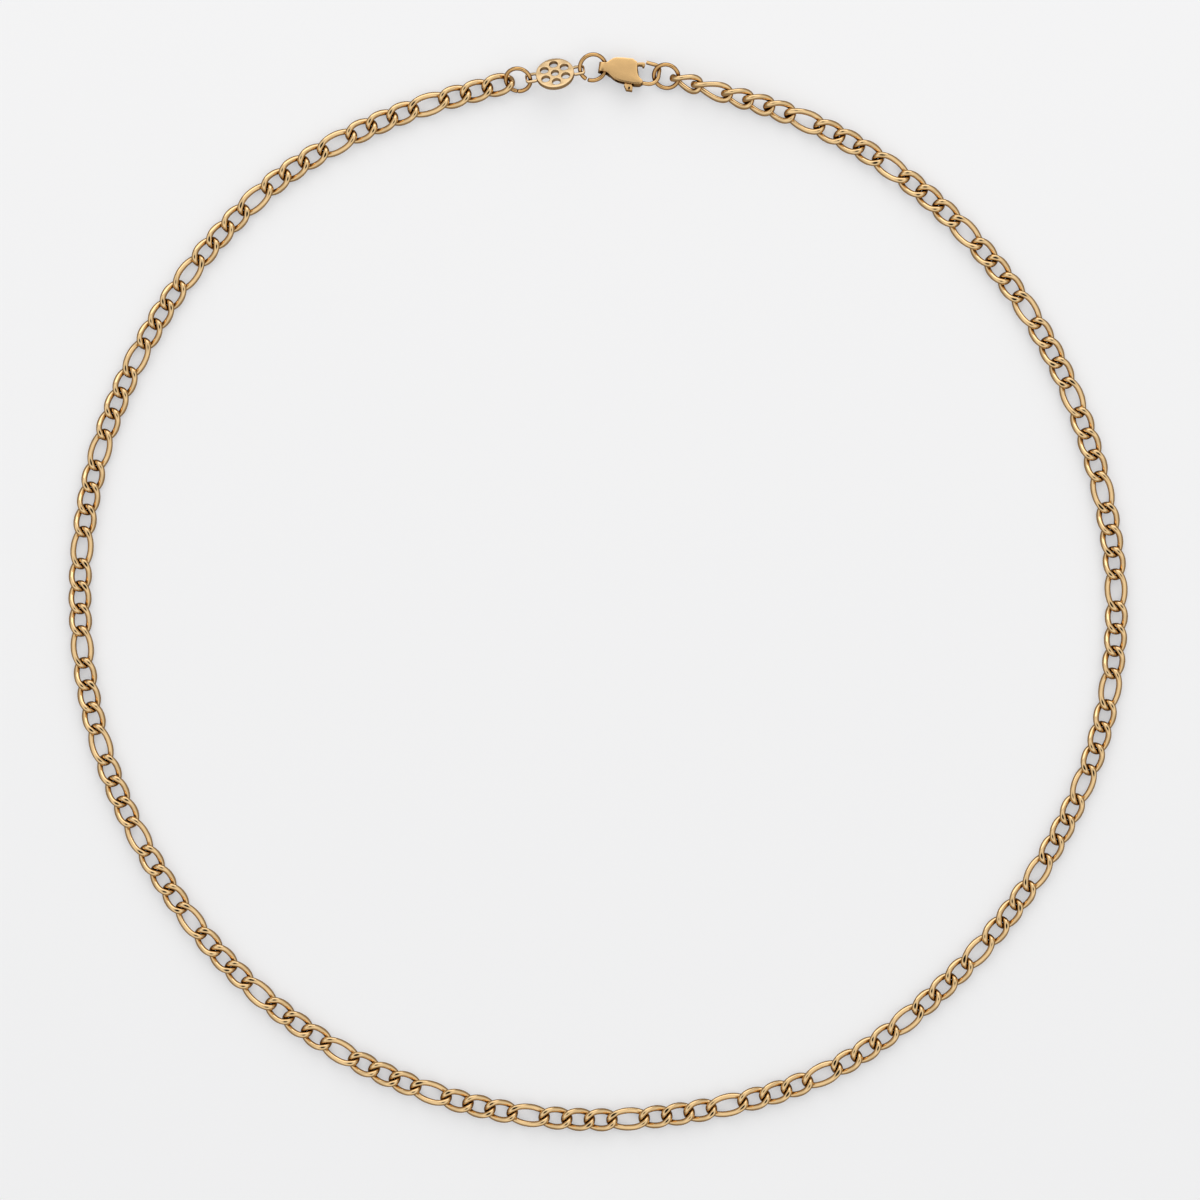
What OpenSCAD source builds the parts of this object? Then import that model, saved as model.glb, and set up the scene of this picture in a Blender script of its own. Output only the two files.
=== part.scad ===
/* [Chain] */
// Number of long links, with three short links between each pair
long_links = 31; // [26:1:31]
// Thickness of the links' wire
wire_d = 0.78; // [0.66:0.01:0.86]
// Outer width of a link
link_w = 3.5; // [3.2:0.02:3.8]
// Length that one short link adds to the chain
short_pitch = 3.43; // [3.3:0.01:3.9]
// Length that one long link adds to the chain
long_pitch = 4.89; // [4.4:0.01:5.6]
// Room left between the wires where two links meet
link_gap = 0.15; // [0.14:0.01:0.2]
// Twist of a link from its middle to its end, in degrees
link_twist = 47; // [45:1:50]
// Squareness of a link's outline, where 2 is an ellipse
link_square = 2.5; // [2.3:0.1:2.7]
// Roll of the chain about its own line where the right ring holds it, in degrees
end_roll = 60; // [54:1:62]
// Length over which that roll dies away
roll_run = 34; // [32:1:44]

/* [Jump rings] */
// Outer diameter of a jump ring
ring_d = 4.4; // [4.3:0.05:4.8]
// Outer diameter of the middle ring, which stands a little open
middle_ring_d = 4.6; // [4.5:0.05:4.9]
// Thickness of a jump ring's wire
ring_wire = 0.58; // [0.48:0.01:0.6]
// Opening of the middle ring's seam
seam_gap = 0.3; // [0.1:0.02:0.4]
// Roll of the two end rings, in degrees
ring_roll = 28; // [26:1:30]
// Roll of the middle ring, in degrees
middle_roll = 16; // [14:1:18]

/* [Tag] */
// Diameter of the disc
tag_d = 5.85; // [5.2:0.05:6.6]
// Thickness of the disc
tag_t = 0.7; // [0.6:0.01:0.8]
// Number of round holes in the disc's ring of holes
tag_holes = 6; // [5:1:7]
// Diameter of one of these holes
tag_hole_d = 1.3; // [1:0.05:1.4]
// Diameter of the hole in the disc's middle
tag_eye_d = 1.2; // [0.8:0.05:1.3]
// Length that a side loop stands out from the disc
tag_loop_len = 1.66; // [1.55:0.01:1.8]
// Outer width of a side loop
tag_loop_w = 1.86; // [1.84:0.02:2.1]
// Width of a side loop's arms
tag_arm = 0.3; // [0.24:0.01:0.32]
// Thickness of a side loop
tag_loop_t = 0.32; // [0.26:0.01:0.34]
// Radius of a side loop's outer corners
tag_loop_corner = 0.5; // [0.4:0.05:0.8]
// Roll of the disc, in degrees
tag_roll = -37; // [-40:1:-35]

/* [Clasp] */
// Overall length of the clasp
clasp_len = 9.54; // [9:0.05:10.2]
// Width of the clasp's plates
clasp_w = 3.95; // [3.8:0.05:4.3]
// Thickness of the clasp over both plates
clasp_t = 2.15; // [2.1:0.05:2.3]
// Thickness of one plate
plate_t = 0.33; // [0.25:0.01:0.35]
// Width of the folded tail
tail_w = 1.38; // [1.2:0.02:1.44]
// Thickness of the hook's wire
hook_wire = 0.62; // [0.54:0.01:0.64]
// Roll of the clasp, in degrees
clasp_roll = -9; // [-10:1:-8]
// Turn of the clasp from the line between its rings, in degrees
clasp_turn = -1.5; // [-3:0.5:0]

/* [Lever] */
// Room on each flat side of the lever
lever_gap = 0.1; // [0.08:0.01:0.14]
// Width of the lever's gate arm
gate_w = 0.45; // [0.36:0.01:0.5]
// Room between the gate and the hook's tip
gate_gap = 0.12; // [0.1:0.01:0.2]
// Length of the thumb nub outside the plates
nub_len = 0.98; // [0.8:0.02:1.1]
// Width of the thumb nub
nub_w = 1.2; // [0.9:0.05:1.3]
// Diameter of the pivot pin
pin_d = 0.5; // [0.4:0.02:0.56]
// Room round the pin in the lever's bore
pin_gap = 0.05; // [0.03:0.01:0.08]

/* [Hidden] */
gold = [0.83, 0.64, 0.36];

// Loop as it lies, seen from above: angle, then share of the mean radius
loop_rows = [
    [0, 0.997], [15, 0.991], [30, 0.993], [45, 0.997], [60, 1.001], [75, 0.998],
    [79.5, 1.003], [82.5, 1.010], [86.4, 1.0115], [90.6, 1.018], [94.6, 1.008],
    [98.7, 1.006], [104, 1.001], [112, 1.003], [120, 1.007], [127.5, 1.010],
    [135, 1.006], [150, 0.998], [165, 0.996], [180, 0.994], [195, 0.995],
    [210, 0.994], [225, 0.999], [240, 1.002], [255, 1.003], [270, 1.003],
    [282, 1.005], [292, 1.012], [299, 1.012], [307, 1.004], [315, 0.999],
    [330, 0.997], [345, 1.001], [360, 0.997]
];
// Middle of the circle that the rows are shares of, from the middle of the loop's box
loop_center = [-0.1, -0.8];
// Angle where the chain's right end meets its ring
start_angle = 81.42;
// Share of the end roll left along the run in which it dies away
roll_rows = [[0, 1], [0.2, 0.86], [0.5, 0.5], [0.8, 0.14], [1, 0]];
// Share of the chain from the left ring, how far its links lie past an even spread, mm
drift_rows = [[0, 0], [0.4, 0.1], [0.6, 0.8], [0.83, 0.65], [0.96, 0.35], [1, 0]];

// Links
link_count = 4 * long_links + 1;
wire_r = wire_d / 2;
link_half_w = link_w / 2 - wire_r;
tip_past = (wire_d + link_gap) / 2;
wire_sides = 5;
short_stations = 12;
long_stations = 14;
// Keeps the many-sided link as long as the curve that it follows
facet_grow = 1.015;
wire_grow = 1.05;

function is_long(i) = i % 4 == 3;
function pitch(i) = is_long(i) ? long_pitch : short_pitch;
function half_len(i) = pitch(i) / 2 + tip_past;
function stations(i) = is_long(i) ? long_stations : short_stations;
chain_len = (link_count - long_links) * short_pitch + long_links * long_pitch;

// One link's points about its own middle: its centreline, and a ring of points round that
function arc_share(c) = sign(c) * abs(c) ^ (2 / link_square);
function line_at(a, half) =
    let (x = facet_grow * half * arc_share(cos(a)))
    let (y = facet_grow * link_half_w * arc_share(sin(a)), f = -link_twist * x / half)
    [x, y * cos(f), y * sin(f)];
function section(a, half) =
    let (p = line_at(a, half), ahead = line_at(a + 1, half) - line_at(a - 1, half))
    let (t = ahead / norm(ahead), f = -link_twist * p[0] / half, up = [0, -sin(f), cos(f)])
    let (b0 = up - (up * t) * t, b = b0 / norm(b0), n = cross(t, b))
    [for (k = [0 : wire_sides - 1])
        let (c = 90 + 360 * (k + 0.5) / wire_sides)
        p + wire_grow * wire_r * (cos(c) * n + sin(c) * b)];
function rolled(p, roll) =
    [p[0], p[1] * cos(roll) - p[2] * sin(roll), p[1] * sin(roll) + p[2] * cos(roll)];
function link_points(half, count, roll) =
    [for (j = [0 : count - 1])
        for (p = section((j + 0.5) * 360 / count, half)) rolled(p, roll)];
function lowest(points) = min([for (p = points) p[2]]);
function link_faces(count, first) =
    [for (j = [0 : count - 1]) for (k = [0 : wire_sides - 1])
        let (j2 = (j + 1) % count, k2 = (k + 1) % wire_sides)
        let (a = first + j * wire_sides + k, b = first + j * wire_sides + k2)
        let (c = first + j2 * wire_sides + k2, d = first + j2 * wire_sides + k)
        each [[a, b, c], [a, c, d]]];

// Roll of a link, then the height of its middle as it lies on the floor
roll_step = 5;
height_rows = [for (r = [0 : roll_step : 90])
    [r, -lowest(link_points(half_len(0), short_stations, r))]];
flat_link_z = lookup(0, height_rows);
rolled_link_z = lookup(end_roll, height_rows);

// Clasp: room between the plates, and the hook's wire from the plates to its tip
inner_t = clasp_t - 2 * plate_t;
hook_r = hook_wire / 2;
bow_x = clasp_len / 2 - hook_r;
bar_x = 0.13 * clasp_len;
bar_y = -0.37 * clasp_w;
bow_r = 0.158 * clasp_len;
crook_r = 0.088 * clasp_len;
crook_y = 0.215 * clasp_w;
tip_tilt = 7;
tip_x = 0.243 * clasp_len;
// The hook's tip is a little thinner, and starts this far back inside the bend
tip_share = 0.97;
tip_root = 0.12;
// Folded tail: its corners' radius, and the eye that runs through it for the middle ring
fold_r = 0.45;
fold_front = -0.33 * clasp_len;
eye_r = 0.15;
eye_back = -clasp_len / 2 + plate_t;
eye_front = -0.315 * clasp_len;
clasp_z = clasp_w / 2 * abs(sin(clasp_roll)) + clasp_t / 2 * cos(clasp_roll);
// Pin: depth of its seat in each plate, and room round it there
pin_seat = 0.18;
seat_gap = 0.02;
pin_len = inner_t + 2 * pin_seat;
pivot = [-0.045 * clasp_len, 0.17 * clasp_w];

// Rings, and the room between their wires and what they hold
ring_r = (ring_d - ring_wire) / 2;
middle_r = (middle_ring_d - ring_wire) / 2;
hook_play = 0.13;
link_play = 0.2;
tag_play = 0.12;
tail_play = 0.47;
// Heights above or below its neighbours' middles at which a ring clears both their arms
hook_drop = 0.08;
tag_lift = 0.08;
tail_drop = 0.01;
// Angle of the middle ring's open seam
seam_angle = 248;

// Tag
tag_end = tag_d / 2 + tag_loop_len;
tag_web = 0.5;
tag_ring_r = tag_d / 2 - tag_web - tag_hole_d / 2;
tag_z = tag_d / 2 * abs(sin(tag_roll)) + tag_t / 2 * cos(tag_roll);

// Stretch of the loop that the fastener takes up, and where its pieces lie in it
function ring_reach(r, left_z, right_z) = sqrt(r ^ 2 - ((right_z - left_z) / 2) ^ 2);
right_reach = ring_reach(ring_r, clasp_z, rolled_link_z);
middle_reach = ring_reach(middle_r, tag_z, clasp_z);
left_reach = ring_reach(ring_r, flat_link_z, tag_z);
link_bearing = (wire_d + ring_wire) / 2 + link_play;
hook_reach = bow_x - (hook_wire + ring_wire) / 2 - hook_play;
tail_reach = clasp_len / 2 - plate_t - ring_wire / 2 - tail_play;
tag_reach = tag_end - tag_arm - ring_wire / 2 - tag_play;
s_ring_right = tip_past - link_bearing + right_reach;
s_clasp = s_ring_right + right_reach + hook_reach;
s_ring_middle = s_clasp + tail_reach + middle_reach;
s_tag = s_ring_middle + middle_reach + tag_reach;
s_ring_left = s_tag + tag_reach + left_reach;
fastener_len = s_ring_left + left_reach - link_bearing + tip_past;
closed_len = fastener_len + chain_len;

// Route: a smooth curve through the rows, and the length along it
function slope(k, n = len(loop_rows) - 1) =
    let (p = loop_rows[(k - 1 + n) % n], q = loop_rows[(k + 1) % n])
    let (run = (q[0] - p[0] + 360) % 360)
    (q[1] - p[1]) / run;
function row_at(a, k = 0) = a < loop_rows[k + 1][0] ? k : row_at(a, k + 1);
function share(angle) =
    let (a = angle % 360, k = row_at(a), p = loop_rows[k], q = loop_rows[k + 1])
    let (run = q[0] - p[0], t = (a - p[0]) / run)
    p[1] * (2 * t ^ 3 - 3 * t ^ 2 + 1) + q[1] * (3 * t ^ 2 - 2 * t ^ 3)
    + run * slope(k) * (t ^ 3 - 2 * t ^ 2 + t) + run * slope(k + 1) * (t ^ 3 - t ^ 2);
steps = 720;
unit_route = [for (i = [0 : steps])
    let (a = start_angle + 360 * i / steps)
    share(a) * [cos(a), sin(a)]];
function unit_step(i) = i < steps ? norm(unit_route[i + 1] - unit_route[i]) : 0;
unit_run = [for (i = 0, s = 0; i <= steps; s = s + unit_step(i), i = i + 1) s];
loop_r = closed_len / unit_run[steps];
run_to_angle = [for (i = [0 : steps]) [unit_run[i] * loop_r, start_angle + 360 * i / steps]];
function along(s) =
    let (a = lookup((s + closed_len) % closed_len, run_to_angle))
    loop_center + loop_r * share(a) * [cos(a), sin(a)];
// Turn of a piece that reaches equally far to both sides of its place
function turn(s, reach) =
    let (d = along(s - reach) - along(s + reach))
    atan2(d[1], d[0]);

// Where each link lies
function link_s(i) =
    let (longs = floor(i / 4), shorts = i - longs)
    let (run = shorts * short_pitch + longs * long_pitch + pitch(i) / 2)
    fastener_len + run + lookup(run / chain_len, drift_rows);
function roll_at(s) = end_roll * lookup((closed_len - s) / roll_run, roll_rows);
function height_at(s) = lookup(roll_at(s), height_rows);
function placed_link(i) =
    let (s = link_s(i), at = along(s), w = turn(s, pitch(i) / 2))
    let (left = height_at(s + pitch(i) / 2), right = height_at(s - pitch(i) / 2))
    let (climb = (right - left) / pitch(i), z = (left + right) / 2)
    [for (p = link_points(half_len(i), stations(i), roll_at(s)))
        [at[0] + p[0] * cos(w) - p[1] * sin(w), at[1] + p[0] * sin(w) + p[1] * cos(w),
         z + p[2] + climb * p[0]]];
function first_point(i, from) = let (longs = floor(i / 4) - floor(from / 4))
    wire_sides * ((i - from) * short_stations + longs * (long_stations - short_stations));

module chain(from, to) {
    color(gold) polyhedron(
        points = [for (i = [from : to]) each placed_link(i)],
        faces = [for (i = [from : to]) each link_faces(stations(i), first_point(i, from))],
        convexity = 10);
}

split_link = floor(link_count / 2);
module chain_left() {
    chain(0, split_link);
}
module chain_right() {
    chain(split_link + 1, link_count - 1);
}

// A piece at its place along the loop, turned to lie between its neighbours and rolled
function between(left_s, right_s) =
    let (d = along(right_s) - along(left_s))
    atan2(d[1], d[0]);
module lay(s, angle, z, roll, climb = 0) {
    at = along(s);
    translate([at[0], at[1], z])
        rotate([0, 0, angle])
            rotate([0, -climb, 0])
                rotate([roll, 0, 0]) children();
}

// A ring between what it holds at its left and at its right
module laid_ring(s, r, left_z, right_z, roll, gap = 0, gap_angle = 0) {
    lay(s, between(s + r, s - r), (left_z + right_z) / 2, roll, asin((right_z - left_z) / (2 * r)))
        color(gold) jump_ring(r, gap, gap_angle);
}

module jump_ring(r, gap, gap_angle) {
    open = gap / r * 180 / PI;
    rotate([0, 0, gap_angle + open / 2])
        rotate_extrude(angle = 360 - open, $fn = 96)
            translate([r, 0]) circle(ring_wire / 2, $fn = 32);
}

module jump_ring_left() {
    laid_ring(s_ring_left, ring_r, flat_link_z, tag_z, ring_roll);
}
module jump_ring_middle() {
    laid_ring(s_ring_middle, middle_r, tag_z + tag_lift, clasp_z - tail_drop, middle_roll,
              seam_gap, seam_angle);
}
module jump_ring_right() {
    laid_ring(s_ring_right, ring_r, clasp_z - hook_drop, rolled_link_z, ring_roll);
}

// Tag: a pierced disc with a loop of two arms on each side
module tag() {
    lay(s_tag, between(s_ring_left, s_ring_middle), tag_z, tag_roll) color(gold) {
        difference() {
            union() {
                translate([0, 0, -tag_t / 2]) cylinder(h = tag_t, d = tag_d, $fn = 96);
                translate([0, 0, -tag_loop_t / 2]) linear_extrude(tag_loop_t)
                    rounded(-tag_end, tag_end, tag_loop_w, tag_loop_corner);
            }
            for (k = [0 : tag_holes - 1])
                rotate([0, 0, 90 + 360 * k / tag_holes]) translate([tag_ring_r, 0, -tag_t])
                    cylinder(h = 2 * tag_t, d = tag_hole_d, $fn = 48);
            translate([0, 0, -tag_t]) cylinder(h = 2 * tag_t, d = tag_eye_d, $fn = 48);
            for (turn_z = [0, 180])
                rotate([0, 0, turn_z]) translate([0, 0, -tag_t]) linear_extrude(2 * tag_t)
                    rounded(tag_d / 2, tag_end - tag_arm, tag_loop_w - 2 * tag_arm,
                            tag_loop_corner - tag_arm);
        }
    }
}

// Clasp outline in shares of its length and its plates' width
top_rows = [[-0.388, 0.19], [-0.365, 0.23], [-0.333, 0.3], [-0.27, 0.41], [-0.175, 0.455],
            [0.0, 0.478], [0.07, 0.455], [0.092, 0.4]];
right_rows = [[0.092, 0.4], [0.104, 0.278], [0.117, 0.023], [0.145, -0.14], [0.178, -0.235],
              [0.225, -0.315]];
bottom_rows = [[0.24, -0.44], [0.19, -0.475], [0.085, -0.5], [-0.093, -0.484],
               [-0.2, -0.43], [-0.28, -0.32], [-0.325, -0.235], [-0.365, -0.19],
               [-0.4, -0.175]];
cavity_rows = [[-0.257, -0.19], [-0.257, 0.23], [-0.21, 0.34], [-0.1, 0.385], [0.03, 0.4],
               [0.05, 0.42], [0.4, 0.42], [0.4, -0.22], [0.1, -0.22], [0.095, -0.6], [-0.205, -0.6],
               [-0.205, -0.33]];

// Smooth curve through the rows, with a few points for each step
function tangent(rows, k) = (rows[min(k + 1, len(rows) - 1)] - rows[max(k - 1, 0)]) / 2;
function smooth(rows, per = 4) =
    [for (k = [0 : len(rows) - 2]) for (j = [0 : per - (k == len(rows) - 2 ? 0 : 1)])
        let (t = j / per)
        rows[k] * (2 * t ^ 3 - 3 * t ^ 2 + 1) + rows[k + 1] * (3 * t ^ 2 - 2 * t ^ 3)
        + tangent(rows, k) * (t ^ 3 - 2 * t ^ 2 + t) + tangent(rows, k + 1) * (t ^ 3 - t ^ 2)];
function sized(rows) = [for (p = rows) [p[0] * clasp_len, p[1] * clasp_w]];

module slab(points, t) {
    translate([0, 0, -t / 2]) linear_extrude(t) polygon(points);
}

// Bar across the clasp, from its profile seen from the side
module across(w) {
    translate([0, w / 2, 0]) rotate([90, 0, 0]) linear_extrude(w) children();
}
// Box from x0 to x1 with round corners
module rounded(x0, x1, t, r) {
    translate([x0 + r, -t / 2]) square([x1 - x0 - 2 * r, t]);
    translate([x0, -t / 2 + r]) square([x1 - x0, t - 2 * r]);
    for (x = [x0 + r, x1 - r], z = [-t / 2 + r, t / 2 - r])
        translate([x, z]) circle(r, $fn = 32);
}

module plates() {
    difference() {
        union() {
            slab(concat(sized(smooth(top_rows)), sized(smooth(right_rows)), sized(smooth(bottom_rows))),
                 clasp_t);
            across(tail_w) rounded(-clasp_len / 2, fold_front, clasp_t, fold_r);
        }
        slab(sized(cavity_rows), inner_t);
        across(2 * clasp_w) rounded(eye_back, eye_front, inner_t, eye_r);
        translate([pivot[0], pivot[1], -pin_len / 2]) cylinder(h = pin_len, d = pin_d, $fn = 48);
    }
}

// Round wire: a straight stretch from a place in a direction, and a bend round a middle
module wire(start, angle, length, r = hook_r) {
    translate([start[0], start[1], 0]) rotate([0, 0, angle]) rotate([0, 90, 0])
        cylinder(h = length, r = r, $fn = 32);
}
module bend(center, r, from, angle) {
    translate([center[0], center[1], 0]) rotate([0, 0, from]) rotate_extrude(angle = angle, $fn = 96)
        translate([r, 0]) circle(hook_r, $fn = 32);
}

module hook() {
    low = [bow_x - bow_r, bar_y + bow_r];
    high = [bow_x - crook_r, crook_y];
    over = 90 - tip_tilt;
    crook_end = high + crook_r * [cos(over), sin(over)];
    wire([bar_x, bar_y], 0, low[0] - bar_x);
    bend(low, bow_r, 270, 90);
    wire([bow_x, low[1]], 90, high[1] - low[1]);
    bend(high, crook_r, 0, over);
    back = tip_root * [cos(tip_tilt), -sin(tip_tilt)];
    tip_run = (crook_end[0] - tip_x) / cos(tip_tilt);
    wire(crook_end + back, over + 90, tip_run + tip_root, tip_share * hook_r);
}

module lay_clasp() {
    lay(s_clasp, between(s_ring_middle, s_ring_right) + clasp_turn, clasp_z, clasp_roll) children();
}

module clasp_body() {
    lay_clasp() color(gold) {
        plates();
        hook();
    }
}

// Pin, seated in a blind pocket of each plate
module clasp_pin() {
    lay_clasp() color(gold)
        translate([pivot[0], pivot[1], -pin_len / 2 + seat_gap])
            cylinder(h = pin_len - 2 * seat_gap, d = pin_d - 2 * seat_gap, $fn = 48);
}

// Lever: hub on the pin, gate arm to the hook's tip and thumb nub below the plates
hub_wall = 0.26;
hub_r = pin_d / 2 + pin_gap + hub_wall;
lever_t = inner_t - 2 * lever_gap;
gate_end = tip_x - gate_gap;
gate_top = 0.415 * clasp_w;
nub_x = 0.01 * clasp_len;
nub_top = -clasp_w / 2;
module clasp_lever() {
    lay_clasp() color(gold) difference() {
        union() {
            slab([[pivot[0], pivot[1] + hub_r], [gate_end - gate_w, gate_top],
                  [gate_end - gate_w / 2, gate_top], [gate_end - gate_w / 2, gate_top - gate_w],
                  [gate_end - 2 * gate_w, gate_top - gate_w], [pivot[0], pivot[1] - hub_r]], lever_t);
            translate([gate_end - gate_w / 2, gate_top - gate_w / 2, -lever_t / 2])
                cylinder(h = lever_t, d = gate_w, $fn = 48);
            translate([pivot[0], pivot[1], -lever_t / 2])
                cylinder(h = lever_t, r = hub_r, $fn = 48);
            slab([[pivot[0] - hub_r, pivot[1]], [pivot[0] + hub_r, pivot[1]],
                  [nub_x + nub_w / 3, nub_top], [nub_x + nub_w / 2, nub_top - nub_len / 2],
                  [nub_x + nub_w / 2, nub_top - nub_len], [nub_x - nub_w / 8, nub_top - nub_len],
                  [nub_x - nub_w / 2.4, nub_top - nub_len / 4], [nub_x - nub_w / 3, nub_top]],
                 lever_t);
        }
        translate([pivot[0], pivot[1], -lever_t])
            cylinder(h = 2 * lever_t, r = pin_d / 2 + pin_gap, $fn = 48);
    }
}

chain_left();
chain_right();
jump_ring_left();
tag();
jump_ring_middle();
clasp_body();
clasp_pin();
clasp_lever();
jump_ring_right();
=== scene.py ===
import math

import bmesh
import bpy
import numpy as np
from mathutils import Euler, Matrix, Vector


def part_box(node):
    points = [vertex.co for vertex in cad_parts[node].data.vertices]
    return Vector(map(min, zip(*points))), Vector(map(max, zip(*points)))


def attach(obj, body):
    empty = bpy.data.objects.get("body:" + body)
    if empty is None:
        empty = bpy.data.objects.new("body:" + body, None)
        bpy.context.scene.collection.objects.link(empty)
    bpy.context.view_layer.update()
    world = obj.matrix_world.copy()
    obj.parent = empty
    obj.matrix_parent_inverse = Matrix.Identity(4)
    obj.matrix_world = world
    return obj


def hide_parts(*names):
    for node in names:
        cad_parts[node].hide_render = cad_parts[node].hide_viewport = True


bl_info = {
    "name": "Figaro chain looks",
    "version": (1, 0, 0),
    "blender": (4, 5, 0),
    "location": "View3D > Sidebar > Chain",
    "description": "Builds the polished links, rings, tag and clasp of a gold figaro chain necklace",
    "category": "Object",
}

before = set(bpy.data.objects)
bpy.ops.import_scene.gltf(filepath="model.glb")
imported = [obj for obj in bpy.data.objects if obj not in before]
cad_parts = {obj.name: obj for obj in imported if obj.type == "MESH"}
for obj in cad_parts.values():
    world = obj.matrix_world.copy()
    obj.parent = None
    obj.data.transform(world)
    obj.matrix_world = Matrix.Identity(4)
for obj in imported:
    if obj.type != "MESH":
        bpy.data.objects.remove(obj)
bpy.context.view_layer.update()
NECKLACE = "necklace"
LEVER = "lever"

# How finely the meshes are made
GRID_STEPS = 1e7  # steps in a metre of the grid on which doubled corners are found
MERGE_DISTANCE = 1e-7  # corners of the clasp's CAD shapes closer than this are one
JOIN_DISTANCE = 1e-8  # corners of the tag's plates closer than this are one
FLAT_DEGREES = 2  # faces of the clasp's CAD shapes that turn by less are one
LEVEL_SHARE = 0.99  # least upright share of a level face's normal
SLOPE_STEP = 0.01  # turn either way, in radians, over which a link's direction is taken
# Rows of corners on a ring's narrowed ends, as shares of their length
SEAM_SHARES = (0, 0.1, 0.25, 0.45, 0.7)
# Rows of corners on the clasp's dome, as shares of its plate's outline
DOME_SHARES = (0.985, 0.965, 0.94, 0.91, 0.87, 0.82, 0.72, 0.6, 0.46, 0.3, 0.14)
BODY_SHARP = 50  # degrees from which an edge of the clasp's body counts as sharp
LEVER_SHARP = 35  # the same for the clasp's lever
CLASP_CRISP = 30  # degrees from which an edge of the finished clasp is drawn crisp

# What all the gold finishes have in common
PATCH_SCALE = 700  # soft patches of colour in a metre
PATCH_DETAIL = 3  # levels of detail in their noise
PATCH_RANGE = (0.35, 0.65)  # part of that noise over which the colour changes
PATCH_DARKER = 0.94  # how bright the darker patches are
GRAIN_DETAIL = 4  # levels of detail in the polishing marks
GRAIN_SPREAD = (0.8, 1.2)  # how far the marks change the roughness
SHADE_SAMPLES = 8  # rays by which the open share of the surroundings is found, for the painted shade
SHADE_START = 0.30  # open share of the surroundings at which the painted shade makes the gold wholly dark brown

# Soft light from all round: height as the sine of the elevation, then brightness
SKY_ROWS = (
    (0.25, 0.32), (0.50, 0.72), (0.80, 1.0), (0.93, 0.75), (0.965, 0.66), (0.981, 0.64),
    (0.986, 0.01), (0.996, 0.01),
)
SKY_FOOT = (0.30, 0.25, 0.20)  # the sky's colour at the horizon and below


# Sizes and colours that a user would change


def length(name, description, default):
    """A length property in metres, shown with its unit."""
    return bpy.props.FloatProperty(
        name=name, description=description, default=default, precision=6, subtype="DISTANCE", unit="LENGTH"
    )


def angle(name, description, degrees):
    """An angle property, given in degrees."""
    return bpy.props.FloatProperty(
        name=name, description=description, default=math.radians(degrees), subtype="ANGLE", unit="ROTATION"
    )


def colour(name, description, default):
    """A colour property without alpha."""
    return bpy.props.FloatVectorProperty(
        name=name, description=description, default=default, size=3, min=0, max=1, subtype="COLOR"
    )


def spot(name, description, default):
    """A place in metres, as three lengths."""
    return bpy.props.FloatVectorProperty(
        name=name, description=description, default=default, size=3, subtype="TRANSLATION", unit="LENGTH"
    )


def number(name, description, default):
    """A plain number property."""
    return bpy.props.FloatProperty(name=name, description=description, default=default)


def count(name, description, default):
    """A whole number property."""
    return bpy.props.IntProperty(name=name, description=description, default=default, min=3)


class ChainSizes(bpy.types.PropertyGroup):
    """Sizes of the links."""

    wire: length("Wire", "Thickness of a link's wire along its sides", 0.00078)
    broad: length("Broad wire", "Width of the wire along a link's sides", 0.00091)
    end_wire: length("End wire", "Thickness of the wire round a link's ends", 0.00108)
    end_broad: length("End broad wire", "Width of the wire round a link's ends", 0.00088)
    end_power: number("End power", "How late along a link its wire swells to the size at its ends", 3)
    width: length("Link width", "Outer width of a link", 0.00354)
    short_pitch: length("Short pitch", "Length that a short link adds to the chain", 0.00343)
    long_pitch: length("Long pitch", "Length that a long link adds to the chain", 0.00489)
    gap: length("Link gap", "Room between the wires where two links meet", 0.00015)
    twist: angle("Twist", "Twist of a link from its middle to its end", 47)
    squareness: number("Squareness", "Squareness of a link's outline, where 2 is an ellipse", 2.6)
    pressed_top: length("Pressed top", "Height over a link's middle at which its top is flat", 0.00100)
    lean: angle("Lean", "How far the pressed top of a link leans, differently on each link", 1.6)
    pressed_foot: length("Pressed foot", "Depth under a link's middle at which its foot is flat", 0.00090)
    press_softness: length("Press softness", "How softly the pressed faces turn into the wire", 0.00003)
    short_steps: count("Short steps", "Steps along a short link's wire", 56)
    long_steps: count("Long steps", "Steps along a long link's wire", 64)
    sides: count("Sides", "Sides round the wire", 26)


class RingSizes(bpy.types.PropertyGroup):
    """Details of the jump rings, whose place and sizes come from the frame."""

    left_seam: angle("Left seam", "Where the left ring closes, as seen from above", 263)
    middle_seam: angle("Middle seam", "Where the middle ring stands open, as seen from above", 247)
    right_seam: angle("Right seam", "Where the right ring closes, as seen from above", 8)
    closed_gap: length("Closed gap", "Opening of a closed ring's seam", 0.00004)
    open_gap: length("Open gap", "Opening of the middle ring's seam", 0.0003)
    fuller: length("Fuller wire", "How much thicker the polished wire is drawn", 0.00005)
    end_round: length("End round", "Length over which the wire narrows at its two ends", 0.00012)
    end_share: number("End share", "Share of the wire's thickness that is left at its ends", 0.72)
    steps: count("Steps", "Steps along a ring", 120)
    sides: count("Sides", "Sides round the wire", 28)


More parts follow.
